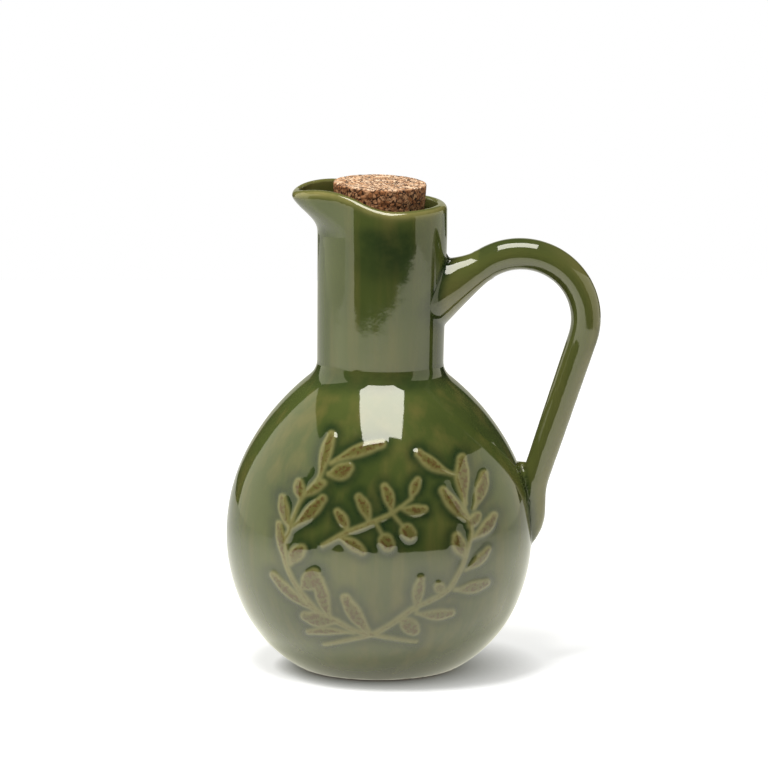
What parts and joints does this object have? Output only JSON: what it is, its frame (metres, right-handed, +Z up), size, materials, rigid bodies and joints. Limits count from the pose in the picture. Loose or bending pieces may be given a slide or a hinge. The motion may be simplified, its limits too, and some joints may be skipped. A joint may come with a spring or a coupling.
{
  "type": "corked jug",
  "caption": "Small round-bellied stoneware jug with a pinched spout, a looped handle and a tapered cork.",
  "frame": {"origin": "middle of the flat foot that the jug stands on", "axes": "+Z up through the neck, +X towards the handle, -X towards the spout"},
  "size_m": [0.1349, 0.1102, 0.1777],
  "materials": {
    "glaze": "glossy olive-green glaze over stoneware",
    "cork": "pressed cork granules, matt"
  },
  "bodies": {
    "root": {"jug": "glaze", "cork": "cork"}
  },
  "joints": []
}
